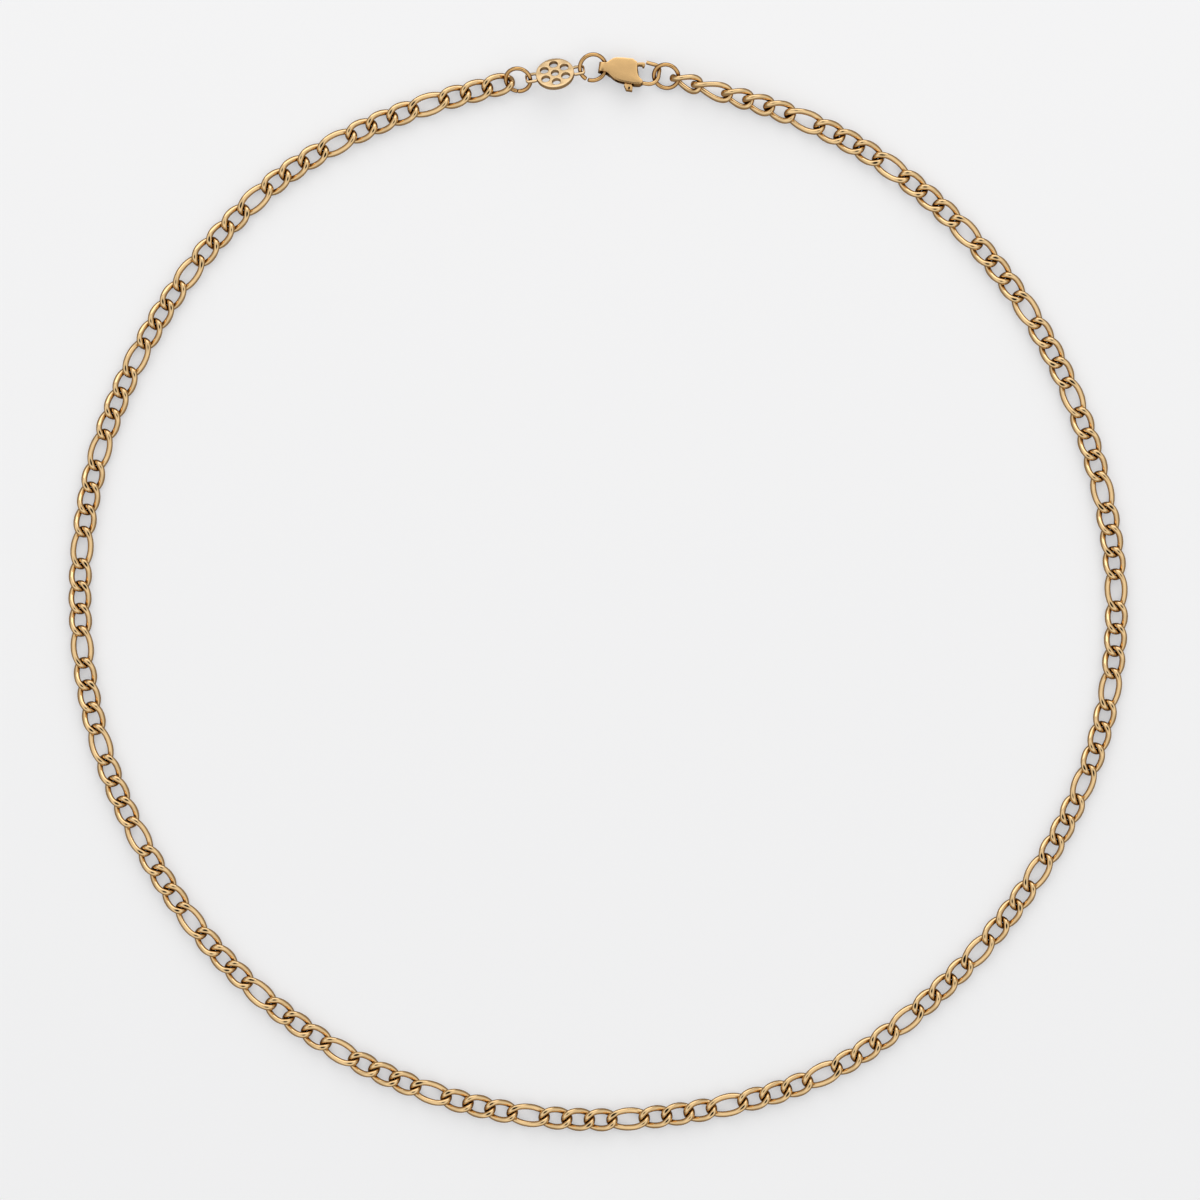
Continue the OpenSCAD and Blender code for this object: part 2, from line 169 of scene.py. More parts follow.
class TagSizes(bpy.types.PropertyGroup):
    """Sizes of the pierced tag."""

    diameter: length("Disc", "Diameter of the disc", 0.00585)
    thickness: length("Thickness", "Thickness of the disc", 0.0007)
    holes: count("Holes", "Round holes in the disc's ring of holes", 6)
    hole: length("Hole", "Diameter of one of these holes", 0.0013)
    eye: length("Eye", "Diameter of the hole in the disc's middle", 0.0012)
    web: length("Web", "Metal between the holes and the disc's edge", 0.0005)
    loop_length: length("Loop length", "How far a side loop stands out from the disc", 0.00166)
    loop_width: length("Loop width", "Outer width of a side loop", 0.00186)
    arm: length("Arm", "Width of a side loop's outer end", 0.0003)
    side_arm: length("Side arm", "Width of a side loop's two arms", 0.0004)
    loop_thickness: length("Loop thickness", "Thickness of a side loop", 0.00036)
    loop_corner: length("Loop corner", "Radius of a side loop's outer corners", 0.0005)
    edge: length("Edge", "Rounding of the disc's edges", 0.00006)
    loop_edge: length("Loop edge", "Rounding of the side loops' edges", 0.00008)
    roll: angle("Roll", "Roll of the disc as it lies", -37)


class ClaspSizes(bpy.types.PropertyGroup):
    """How the clasp lies, how its outline is fitted and how its edges are rounded."""

    roll: angle("Roll", "Roll of the clasp as it lies", -9)
    turn: angle("Turn", "Turn of the clasp from the line between its rings", -1.5)
    pin_x: length("Pin x", "Place of the pin from the clasp's middle, along", -0.0004293)
    pin_y: length("Pin y", "Place of the pin from the clasp's middle, across", 0.0006715)
    rim: length("Rim", "Rounding of the upper plate's outer edges", 0.0002)
    foot_rim: length("Foot rim", "Rounding of the lower plate's outer edges", 0.0004)
    tail_corner: length("Tail corner", "Rounding of the tail's end, as seen from above", 0.00016)
    tail_x: length("Tail x", "Where the tail's rounded end begins, along", -0.0045)
    heel_x: length("Heel x", "Where the plates begin to run out towards the hook, along", 0.0017)
    heel_run: length("Heel run", "Length over which the plates run out", 0.0006)
    heel_rise: length("Heel rise", "How far the plates' outline draws in there, across", 0.00026)
    heel_back: length("Heel back", "How far the plates' outline draws back there, along", 0.00013)
    slant_x: length("Slant x", "Where the slanted front corner of the plates begins, along", 0.00025)
    slant_y: length("Slant y", "Where that slant begins, across", 0.00186)
    slant_end: length("Slant end", "Where that slant ends, along", 0.0010)
    slant: number("Slant", "How steeply that slant falls", 0.56)
    flare: length("Flare", "How far a plate's cut-out edge stands out from its top to its foot", 0.00014)
    flare_back: length("Flare back", "Where the cut-out begins, along", 0.0009)
    flare_front: length("Flare front", "Where the cut-out ends by the hook, along", 0.0021)
    flare_low: length("Flare low", "Where the cut-out ends by the hook, across", -0.00115)
    flare_high: length("Flare high", "Where the cut-out ends by the gate, across", 0.0013)
    tuck: length("Tuck", "How far the lower plate is set back along the nub's side", 0.00014)
    tuck_x: length("Tuck x", "Middle of the stretch that is set back, along", -0.0015)
    tuck_run: length("Tuck run", "Half the length of the stretch that is set back", 0.0024)
    nub_share: number("Nub share", "How much wider the thumb nub is drawn", 1.25)
    nub_x: length("Nub x", "Middle of the thumb nub, along", 0.0002)
    nub_y: length("Nub y", "Where the thumb nub begins, across", -0.0019)
    lip_length: length("Lip length", "Length of the small lip on the gate's tip", 0.00034)
    lip_drop: length("Lip drop", "How far the lip on the gate's tip stands out", 0.0002)
    edge: length("Edge", "Rounding of the other edges", 0.00005)
    dome: length("Dome", "Height of the low dome on the upper plate", 0.00006)
    dome_run: length("Dome run", "Width of the slope round that dome", 0.0014)
    shoulder: length("Shoulder", "Height of the steeper shoulder round the dome", 0.00003)
    shoulder_run: length("Shoulder run", "Width of the shoulder round the dome", 0.00024)
    dome_x: length("Dome x", "Middle of the dome, along", -0.0005)
    dome_y: length("Dome y", "Middle of the dome, across", -0.0004)
    pocket_x: length("Pocket x", "Middle of the hollow in the thumb nub, along", 0.00028)
    pocket_y: length("Pocket y", "Middle of the hollow in the thumb nub, across", -0.00266)
    pocket_width: length("Pocket width", "Width of the hollow in the thumb nub", 0.00028)
    pocket_length: length("Pocket length", "Length of the hollow in the thumb nub", 0.00048)
    pocket_depth: length("Pocket depth", "Depth of the hollow in the thumb nub", 0.0006)


class Finishes(bpy.types.PropertyGroup):
    """Colours of the gold and of the stage."""

    chain_gold: colour("Chain gold", "Gold of the links", (0.91, 0.63, 0.32))
    ring_gold: colour("Ring gold", "Browner gold of the rings", (0.73, 0.43, 0.17))
    tag_gold: colour("Tag gold", "Paler gold of the tag", (0.78, 0.56, 0.31))
    clasp_gold: colour("Clasp gold", "Gold of the clasp", (0.90, 0.57, 0.25))
    edge_gold: colour("Edge gold", "Tint of the gold seen at a grazing angle", (0.60, 0.45, 0.28))
    plate_edge: colour("Plate edge", "Tint of tag and clasp at a grazing angle", (0.95, 0.80, 0.55))
    ring_edge: colour("Ring edge", "Tint of the rings' gold seen at a grazing angle", (0.16, 0.07, 0.03))
    # Painted shade: the gold turns this dark brown where its surroundings are closed in, in crevices and
    # where parts cross
    painted_shade_brown: colour("Hollow gold", "Dark brown of the gold in its hollows", (0.06, 0.026, 0.012))
    floor: colour("Floor", "Pale floor", (0.600, 0.585, 0.570))
    floor_glow: number("Floor glow", "Light that the paper of the floor lets through from below", 0.37)
    glow_tint: colour("Glow tint", "Colour of the light that comes through the floor", (0.91, 0.95, 1.0))
    floor_mirrored: colour("Mirrored floor", "Floor as the gold mirrors it", (0.33, 0.28, 0.235))


class StageSizes(bpy.types.PropertyGroup):
    """Camera and lights."""

    view_width: length("View width", "Width of the square that the camera sees", 0.18324)
    view_x: length("View x", "Middle of the view, across", 0.000305)
    view_y: length("View y", "Middle of the view, along", -0.001145)
    view_height: length("View height", "Height at which the view has its full width", 0.001)
    camera_height: length("Camera height", "Height of the camera over the view height", 0.9)
    sensor: number("Sensor", "Width of the camera's sensor, in millimetres", 36)
    near: length("Near", "Nearest distance that the camera sees", 0.01)
    far: length("Far", "Farthest distance that the camera sees", 10)
    sky: number("Sky", "Strength of the soft light from all round", 1.0)
    window: number("Window", "Power of the large light behind the chain, in watts", 1.4)
    window_place: spot("Window place", "Middle of the large light behind the chain", (0.05, 0.75, 0.30))
    window_width: length("Window width", "Width of the large light behind the chain", 0.9)
    window_depth: length("Window depth", "Depth of the large light behind the chain", 0.5)
    skylight: number("Skylight", "Power of the high light that gives the soft shadows, in watts", 3.4)
    skylight_place: spot("Skylight place", "Middle of the high light", (0.05, 0.90, 0.65))
    skylight_width: length("Skylight width", "Width of the high light", 1.4)
    skylight_depth: length("Skylight depth", "Depth of the high light", 1.0)
    floor_reach: length("Floor reach", "How far the floor goes on to each side", 2)
    floor_drop: length("Floor drop", "How far the floor lies under the chain", 0.00002)


class FigaroLooks(bpy.types.PropertyGroup):
    """All the settings of the chain's looks."""

    chain: bpy.props.PointerProperty(type=ChainSizes, name="Chain", description="Sizes of the links")
    rings: bpy.props.PointerProperty(type=RingSizes, name="Rings", description="Details of the rings")
    tag: bpy.props.PointerProperty(type=TagSizes, name="Tag", description="Sizes of the tag")
    clasp: bpy.props.PointerProperty(type=ClaspSizes, name="Clasp", description="Details of the clasp")
    finishes: bpy.props.PointerProperty(type=Finishes, name="Finishes", description="Colours")
    stage: bpy.props.PointerProperty(type=StageSizes, name="Stage", description="Camera and lights")


def settings():
    """The scene's own settings of this file."""
    return bpy.context.scene.figaro_looks


# Reading the frame


def node_points(node):
    """The corners of a CAD node without doubled ones, and its triangles as rows of corner numbers."""
    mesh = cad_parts[node].data
    mesh.calc_loop_triangles()
    raw = np.zeros(len(mesh.vertices) * 3)
    mesh.vertices.foreach_get("co", raw)
    triangles = np.zeros(len(mesh.loop_triangles) * 3, int)
    mesh.loop_triangles.foreach_get("vertices", triangles)
    snapped = np.round(raw.reshape(-1, 3) * GRID_STEPS).astype(int)
    kept, number_of = np.unique(snapped, axis=0, return_inverse=True)
    return kept / GRID_STEPS, number_of.reshape(-1)[triangles].reshape(-1, 3)


def shells(node):
    """The corners of each loose shell of a CAD node."""
    points, triangles = node_points(node)
    label = np.arange(len(points))
    while True:
        low = label[triangles].min(axis=1)
        new = label.copy()
        for corner in range(3):
            np.minimum.at(new, triangles[:, corner], low)
        if (new == label).all():
            break
        label = new
    return [points[label == name] for name in np.unique(label)]


def axes_of(points):
    """Middle of a shell, and its axes as columns, the longest first and the last one pointing up."""
    middle = points.mean(axis=0)
    _, vectors = np.linalg.eigh(np.cov((points - middle).T))
    long_axis, up = vectors[:, 2], vectors[:, 0]
    if up[2] < 0:
        up = -up
    return middle, np.column_stack([long_axis, np.cross(up, long_axis), up])


def box_middle(node):
    """Middle of a CAD node's box."""
    low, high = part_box(node)
    return (low + high) / 2


def laid_between(left_node, right_node, turn, roll):
    """Turn of a piece that lies in line between two rings, and is rolled about that line."""
    line = box_middle(right_node) - box_middle(left_node)
    return Euler((0, 0, math.atan2(line.y, line.x) + turn)).to_matrix() @ Euler((roll, 0, 0)).to_matrix()


# Building meshes


def closed_grid(grid, close_ends):
    """Points and faces of a grid of rings of points; close_ends joins the last ring to the first."""
    rings, sides, _ = grid.shape
    number_at = np.arange(rings * sides).reshape(rings, sides)
    last = rings if close_ends else rings - 1
    here = number_at[:last]
    ahead = np.roll(number_at, -1, axis=0)[:last]
    faces = np.stack([here, np.roll(here, -1, axis=1), np.roll(ahead, -1, axis=1), ahead], axis=-1)
    return grid.reshape(-1, 3), faces.reshape(-1, 4).tolist()


def make_piece(name, mesh, body, node, finish):
    """Adds a finished piece that stands for a CAD node and moves with a body."""
    piece = bpy.data.objects.new(name, mesh)
    bpy.context.scene.collection.objects.link(piece)
    piece.data.materials.append(finish)
    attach(piece, body)
    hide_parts(node)


def mesh_of(name, points, faces, smooth=True):
    """A mesh from points and faces."""
    mesh = bpy.data.meshes.new(name)
    mesh.from_pydata([tuple(point) for point in points], [], faces)
    mesh.update()
    mesh.polygons.foreach_set("use_smooth", [smooth] * len(mesh.polygons))
    return mesh


def pressed(height, low, high, softness):
    """Heights held between two levels, with soft shoulders."""
    under = high - softness * np.logaddexp(0, (high - height) / softness)
    return low + softness * np.logaddexp(0, (under - low) / softness)


def link_line(sizes, half, at):
    """Centreline of a twisted link at the given angles, and its twist there."""
    power = 2 / sizes.squareness
    half_width = (sizes.width - sizes.broad) / 2
    x = half * np.sign(np.cos(at)) * np.abs(np.cos(at)) ** power
    y = half_width * np.sign(np.sin(at)) * np.abs(np.sin(at)) ** power
    twist = -sizes.twist * x / half
    return np.column_stack([x, y * np.cos(twist), y * np.sin(twist)]), twist


def link_grid(sizes, half, steps):
    """Rings of points round a link's wire."""
    at = (np.arange(steps) + 0.5) * 2 * math.pi / steps
    line, twist = link_line(sizes, half, at)
    behind, _ = link_line(sizes, half, at - SLOPE_STEP)
    ahead, _ = link_line(sizes, half, at + SLOPE_STEP)
    along = (ahead - behind) / np.linalg.norm(ahead - behind, axis=1)[:, None]
    up = np.column_stack([np.zeros(steps), -np.sin(twist), np.cos(twist)])
    up -= (up * along).sum(axis=1)[:, None] * along
    up /= np.linalg.norm(up, axis=1)[:, None]
    out = np.cross(along, up)
    turn = np.arange(sizes.sides) * 2 * math.pi / sizes.sides
    end = (np.abs(line[:, 0]) / half)[:, None, None] ** sizes.end_power
    broad = sizes.broad + (sizes.end_broad - sizes.broad) * end
    thick = sizes.wire + (sizes.end_wire - sizes.wire) * end
    across = broad / 2 * np.cos(turn)[None, :, None] * out[:, None]
    ring = across + thick / 2 * np.sin(turn)[None, :, None] * up[:, None]
    return line[:, None] + ring


def pressed_link(sizes, grid, lean):
    """A link with its foot pressed flat, and its top too, leaning by two slopes."""
    top = sizes.pressed_top + grid[..., :2] @ lean
    height = pressed(grid[..., 2], -sizes.pressed_foot, top, sizes.press_softness)
    return np.concatenate([grid[..., :2], height[..., None]], axis=-1)


def chain_mesh(name, node, sizes):
    """All the links of a CAD chain node, each drawn anew where its shell lies.

    The random leans start from the length of the name, which differs for the two halves.
    """
    points, faces, first = [], [], 0
    past = (sizes.wire + sizes.gap) / 2
    middle_length = (sizes.short_pitch + sizes.long_pitch) / 2 + 2 * past + sizes.wire
    kinds = {
        False: link_grid(sizes, sizes.short_pitch / 2 + past, sizes.short_steps),
        True: link_grid(sizes, sizes.long_pitch / 2 + past, sizes.long_steps),
    }
    spread = np.random.default_rng(len(name))
    for shell in shells(node):
        middle, axes = axes_of(shell)
        span = np.ptp((shell - middle) @ axes[:, 0])
        lean = spread.uniform(-1, 1, 2) * math.tan(sizes.lean)
        grid = pressed_link(sizes, kinds[bool(span > middle_length)], lean) @ axes.T + middle
        shell_points, shell_faces = closed_grid(grid, True)
        points.append(shell_points)
        faces += (np.array(shell_faces) + first).tolist()
        first += len(shell_points)
    return mesh_of(name, np.concatenate(points), faces)


def ring_place(node):
    """Middle, normal, radius and wire radius of a jump ring, from its CAD node."""
    points, _ = node_points(node)
    _, axes = axes_of(points)
    normal = axes[:, 2]
    middle = np.array(box_middle(node))
    flat = points - middle - np.outer((points - middle) @ normal, normal)
    reach = np.linalg.norm(flat, axis=1)
    return middle, normal, (reach.max() + reach.min()) / 2, (reach.max() - reach.min()) / 2


def ring_mesh(name, node, sizes, seam, gap):
    """A jump ring with its seam cut straight through the wire."""
    middle, normal, radius, wire = ring_place(node)
    wire += sizes.fuller / 2
    toward = np.array([math.cos(seam), math.sin(seam), 0])
    toward -= (toward @ normal) * normal
    toward /= np.linalg.norm(toward)
    across = np.cross(normal, toward)
    half_gap = gap / 2 / radius
    shares = np.array(SEAM_SHARES)
    ends = half_gap + shares * sizes.end_round / radius
    body = np.linspace(ends[-1], 2 * math.pi - ends[-1], sizes.steps)
    at = np.concatenate([ends[:-1], body, 2 * math.pi - ends[-2::-1]])
    narrow = np.ones(len(at))
    narrow[:len(shares)] -= (1 - sizes.end_share) * (1 - shares) ** 2
    narrow[-len(shares):] = narrow[:len(shares)][::-1]
    turn = np.arange(sizes.sides) * 2 * math.pi / sizes.sides
    out = np.cos(at)[:, None] * toward + np.sin(at)[:, None] * across
    section = np.cos(turn)[None, :, None] * out[:, None] + np.sin(turn)[None, :, None] * normal
    grid = middle + radius * out[:, None] + wire * narrow[:, None, None] * section
    points, faces = closed_grid(grid, False)
    last = (len(at) - 1) * sizes.sides
    faces.append(list(range(sizes.sides))[::-1])
    faces.append(list(range(last, last + sizes.sides)))
    return mesh_of(name, points, faces)


def mesh_as_drawn(piece):
    """An object's mesh as it is drawn, with its modifiers or its curve's thickness."""
    bpy.context.view_layer.update()
    return bpy.data.meshes.new_from_object(piece.evaluated_get(bpy.context.evaluated_depsgraph_get()))


def plate_mesh(name, outlines, thickness, edge, segments=3):
    """A flat plate from closed outlines, those inside others being holes, with rounded edges."""
    curve = bpy.data.curves.new(name, "CURVE")
    curve.dimensions = "2D"
    curve.fill_mode = "BOTH"
    curve.extrude = thickness / 2 - edge
    curve.bevel_depth = edge
    curve.bevel_resolution = segments
    curve.offset = -edge
    for outline in outlines:
        spline = curve.splines.new("POLY")
        spline.points.add(len(outline) - 1)
        for point, (x, y) in zip(spline.points, outline):
            point.co = (x, y, 0, 1)
        spline.use_cyclic_u = True
    drawn = bpy.data.objects.new(name, curve)
    bpy.context.scene.collection.objects.link(drawn)
    mesh = mesh_as_drawn(drawn)
    bpy.data.objects.remove(drawn)
    bpy.data.curves.remove(curve)
    return mesh


def circle(middle, radius, steps=64):
    """Points of a circle."""
    turns = [2 * math.pi * step / steps for step in range(steps)]
    return [(middle[0] + radius * math.cos(turn), middle[1] + radius * math.sin(turn)) for turn in turns]


def rounded_box(x0, x1, half_width, corner, steps=8):
    """Points of a box with rounded corners."""
    middles = [(x1 - corner, half_width - corner, 0), (x0 + corner, half_width - corner, 90),
               (x0 + corner, corner - half_width, 180), (x1 - corner, corner - half_width, 270)]
    outline = []
    for x, y, start in middles:
        for step in range(steps + 1):
            turn = math.radians(start + 90 * step / steps)
            outline.append((x + corner * math.cos(turn), y + corner * math.sin(turn)))
    return outline


def joined(name, meshes):
    """Several meshes in one."""
    shape = bmesh.new()
    for mesh in meshes:
        shape.from_mesh(mesh)
        bpy.data.meshes.remove(mesh)
    bmesh.ops.remove_doubles(shape, verts=shape.verts, dist=JOIN_DISTANCE)
    bmesh.ops.recalc_face_normals(shape, faces=shape.faces)
    mesh = bpy.data.meshes.new(name)
    shape.to_mesh(mesh)
    shape.free()
    return mesh


def soften(mesh, sharp_degrees=40):
    """Smooth shading, with the edges that turn sharply kept crisp."""
    mesh.polygons.foreach_set("use_smooth", [True] * len(mesh.polygons))
    mesh.set_sharp_from_angle(angle=math.radians(sharp_degrees))


def tag_mesh(name, sizes):
    """A pierced disc with a side loop at each end, laid between its rings."""
    ring = sizes.diameter / 2 - sizes.web - sizes.hole / 2
    outlines = [circle((0, 0), sizes.diameter / 2, steps=128), circle((0, 0), sizes.eye / 2)]
    for hole in range(sizes.holes):
        turn = math.radians(90) + 2 * math.pi * hole / sizes.holes
        outlines.append(circle((ring * math.cos(turn), ring * math.sin(turn)), sizes.hole / 2))
    parts = [plate_mesh("disc", outlines, sizes.thickness, sizes.edge)]
    start = sizes.diameter / 2
    inner, outer = start - sizes.web / 2, start + sizes.loop_length
    for side in (1, -1):
        loop = rounded_box(inner, outer, sizes.loop_width / 2, sizes.loop_corner)
        hole = rounded_box(start, outer - sizes.arm, sizes.loop_width / 2 - sizes.side_arm,
                           sizes.loop_corner - sizes.arm)
        outlines = [[(side * x, side * y) for x, y in path] for path in (loop, hole)]
        parts.append(plate_mesh("loop", outlines, sizes.loop_thickness, sizes.loop_edge))
    mesh = joined(name, parts)
    soften(mesh)
    turn = laid_between("jump_ring_left", "jump_ring_middle", 0, sizes.roll)
    mesh.transform(Matrix.Translation(box_middle("tag")) @ turn.to_4x4())
    return mesh


def clasp_place(sizes):
    """Place and turn of the clasp, found from its rings and its pin."""
    turn = laid_between("jump_ring_middle", "jump_ring_right", sizes.turn, sizes.roll)
    middle = box_middle("clasp_pin") - turn @ Vector((sizes.pin_x, sizes.pin_y, 0))
    return Matrix.Translation(middle) @ turn.to_4x4()


def own_shape(node, place):
    """A CAD node's shape in the clasp's own frame, without its triangles' inner edges."""
    shape = bmesh.new()
    shape.from_mesh(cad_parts[node].data)
    shape.transform(place.inverted())
    bmesh.ops.remove_doubles(shape, verts=shape.verts, dist=MERGE_DISTANCE)
    limit = math.radians(FLAT_DEGREES)
    bmesh.ops.dissolve_limit(shape, angle_limit=limit, verts=shape.verts, edges=shape.edges)
    return shape


def rounded(shape, edges, size, segments):
    """Rounds some edges of a shape."""
    bmesh.ops.bevel(shape, geom=edges, offset=size, offset_type="OFFSET", segments=segments,
                    profile=0.5, affect="EDGES", clamp_overlap=True)


def sharp_edges(shape, sharp_degrees):
    """The edges of a shape at which it turns sharply."""
    limit = math.radians(sharp_degrees)
    return [edge for edge in shape.edges if len(edge.link_faces) == 2 and edge.calc_face_angle(0) > limit]


def flat_face(shape, side):
    """The largest flat face that looks up, or down for a side of -1."""
    level = [face for face in shape.faces if side * face.normal.z > LEVEL_SHARE]
    return max(level, key=lambda face: face.calc_area())


def raise_dome(shape, sizes):
    """Replaces the flat top by a low dome that rises with the distance from the edge."""
    top = flat_face(shape, 1)
    ring = list(top.verts)
    rim = np.array([corner.co for corner in ring])
    bmesh.ops.delete(shape, geom=[top], context="FACES_ONLY")
    middle = np.array([sizes.dome_x, sizes.dome_y, rim[0, 2]])
    steps = np.roll(rim, -1, axis=0) - rim
    for share in DOME_SHARES:
        points = middle + (rim - middle) * share
        away = points[:, None] - rim[None]
        along = np.clip((away * steps).sum(axis=2) / (steps * steps).sum(axis=1), 0, 1)
        reach = np.linalg.norm(away - along[..., None] * steps, axis=2).min(axis=1)
        for height, run in ((sizes.dome, sizes.dome_run), (sizes.shoulder, sizes.shoulder_run)):
            points[:, 2] += height * (1 - (1 - np.clip(reach / run, 0, 1)) ** 2)
        inner = [shape.verts.new(point) for point in points]
        for step in range(len(ring)):
            shape.faces.new((ring[step - 1], ring[step], inner[step], inner[step - 1]))
        ring = inner
    shape.faces.new(ring)


def finished(name, shape, place):
    """The shape as a smooth mesh at its place."""
    shape.transform(place)
    mesh = bpy.data.meshes.new(name)
    shape.to_mesh(mesh)
    shape.free()
    soften(mesh, CLASP_CRISP)
    return mesh


def combined(mesh, other, operation):
    """The mesh with another shape added to it or taken out of it."""
    pieces = [bpy.data.objects.new("piece to combine", part) for part in (mesh, other)]
    for piece in pieces:
        bpy.context.scene.collection.objects.link(piece)
    both = pieces[0].modifiers.new("combine", "BOOLEAN")
    both.object = pieces[1]
    both.operation = operation
    result = mesh_as_drawn(pieces[0])
    result.name = mesh.name
    for piece in pieces:
        bpy.data.objects.remove(piece)
    for part in (mesh, other):
        bpy.data.meshes.remove(part)
    soften(result, CLASP_CRISP)
    return result


def in_cutout(corner, sizes):
    """Whether a corner lies on the cut-out between the hook and the gate."""
    x, y, _ = corner.co
    return sizes.flare_back < x < sizes.flare_front and sizes.flare_low < y < sizes.flare_high


def hump(share):
    """A broad hump, 1 in its middle and 0 at shares of -1 and 1."""
    return 1 - abs(share) ** 4


def fit_plates(shape, sizes):
    """Fits the outline of the clasp's plates.

    Their front corner is slanted, their cut-out flares from plate to plate, their heel runs out
    towards the hook, and the lower plate is tucked in along the nub's side.
    """
    top = flat_face(shape, 1).verts[0].co.z
    for corner in shape.verts:
        x, y, z = corner.co
        if sizes.slant_x < x < sizes.slant_end and y > sizes.flare_high:
            corner.co.y = min(y, sizes.slant_y - sizes.slant * (x - sizes.slant_x))
        if in_cutout(corner, sizes):
            across = (y - sizes.flare_low) / (sizes.flare_high - sizes.flare_low)
            # 0 on the upper face, 1 between the plates and 2 on the foot
            depth = int(z < top - sizes.edge) + int(z < sizes.edge - top)
            corner.co.x += sizes.flare * depth * hump(2 * across - 1)
        heel = min(max((x - sizes.heel_x) / sizes.heel_run, 0), 1)
        if abs(z) > top - sizes.edge and y < sizes.flare_low - sizes.rim:
            corner.co.x -= sizes.heel_back * heel ** 2
            corner.co.y += sizes.heel_rise * heel ** 2
        along = abs(x - sizes.tuck_x) / sizes.tuck_run
        if along < 1 and y < sizes.flare_low and z < 0:
            corner.co.y += sizes.tuck * hump(along)


def at_tail(edge, sizes):
    """Whether an edge stands at the tail's end and doesn't run across it."""
    first, second = (corner.co for corner in edge.verts)
    return max(first.x, second.x) < sizes.tail_x and abs(first.y - second.y) < sizes.edge


def clasp_mesh(name, sizes):
    """The clasp's body with a fitted outline, rounded rims and a low dome."""
    place = clasp_place(sizes)
    shape = own_shape("clasp_body", place)
    fit_plates(shape, sizes)
    tail = [edge for edge in sharp_edges(shape, BODY_SHARP) if at_tail(edge, sizes)]
    rounded(shape, tail, sizes.tail_corner, segments=3)
    rounded(shape, list(flat_face(shape, 1).edges), sizes.rim, segments=4)
    foot = [edge for edge in flat_face(shape, -1).edges
            if not any(in_cutout(corner, sizes) for corner in edge.verts)]
    rounded(shape, foot, sizes.foot_rim, segments=4)
    raise_dome(shape, sizes)
    rounded(shape, sharp_edges(shape, BODY_SHARP), sizes.edge, segments=2)
    return finished(name, shape, place)


def lever_mesh(name, sizes):
    """The lever with rounded edges, a small lip on its gate's tip and a hollow in its thumb nub."""
    place = clasp_place(sizes)
    shape = own_shape("clasp_lever", place)
    top = flat_face(shape, 1).verts[0].co.z
    for corner in shape.verts:
        if corner.co.y < sizes.nub_y:
            corner.co.x = sizes.nub_x + (corner.co.x - sizes.nub_x) * sizes.nub_share
    gate_end, gate_low, _ = max(shape.verts, key=lambda corner: corner.co.x).co
    rounded(shape, sharp_edges(shape, LEVER_SHARP), sizes.edge, segments=3)
    half_width, half_length = sizes.pocket_width / 2, sizes.pocket_length / 2
    hollow = rounded_box(-half_width, half_width, half_length, half_width)
    pocket = plate_mesh("pocket", [hollow], 2 * sizes.pocket_depth, sizes.edge)
    pocket.transform(place @ Matrix.Translation((sizes.pocket_x, sizes.pocket_y, top)))
    tip = rounded_box(-sizes.lip_length, 0, sizes.lip_drop, sizes.edge * 2)
    # A little thinner than the lever, so that no two faces lie in one plane
    thickness = 2 * top - sizes.edge / 4
    lip = plate_mesh("lip", [tip], thickness, sizes.edge)
    lip.transform(place @ Matrix.Translation((gate_end - sizes.edge, gate_low - sizes.lip_drop, 0)))
    return combined(combined(finished(name, shape, place), lip, "UNION"), pocket, "DIFFERENCE")


# Finishes


def noise(tree, scale, detail):
    """A noise pattern that lies still on the piece."""
    place = tree.nodes.new("ShaderNodeTexCoord")
    pattern = tree.nodes.new("ShaderNodeTexNoise")
    pattern.inputs["Scale"].default_value = scale
    pattern.inputs["Detail"].default_value = detail
    tree.links.new(place.outputs["Object"], pattern.inputs["Vector"])
    return pattern.outputs["Fac"]


def patchy(tree, base):
    """The gold's colour, a little darker in soft patches."""
    tone = tree.nodes.new("ShaderNodeValToRGB")
    darker, full = tone.color_ramp.elements[0], tone.color_ramp.elements[1]
    darker.position, full.position = PATCH_RANGE
    darker.color = (*[part * PATCH_DARKER for part in base], 1)
    full.color = (*base, 1)
    tree.links.new(noise(tree, PATCH_SCALE, PATCH_DETAIL), tone.inputs["Fac"])
    return tone.outputs["Color"]


def painted_hollow_shade(tree, colour_in, reach, clear):
    """Painted shade: a colour that turns dark brown where little of the surroundings within reach is open.

    It is whole where no less than the clear share of them is open.
    """
    # The open share of the surroundings sets how far the painted shade darkens the colour
    hollow = tree.nodes.new("ShaderNodeAmbientOcclusion")
    hollow.samples = SHADE_SAMPLES
    hollow.inputs["Distance"].default_value = reach
    depth = tree.nodes.new("ShaderNodeValToRGB")
    depth.color_ramp.elements[0].position = SHADE_START
    depth.color_ramp.elements[1].position = clear
    tree.links.new(hollow.outputs["AO"], depth.inputs["Fac"])
    mix = tree.nodes.new("ShaderNodeMix")
    mix.data_type = "RGBA"
    mix.inputs["A"].default_value = (*settings().finishes.painted_shade_brown, 1)
    tree.links.new(depth.outputs["Color"], mix.inputs["Factor"])
    tree.links.new(colour_in, mix.inputs["B"])
    return mix.outputs["Result"]


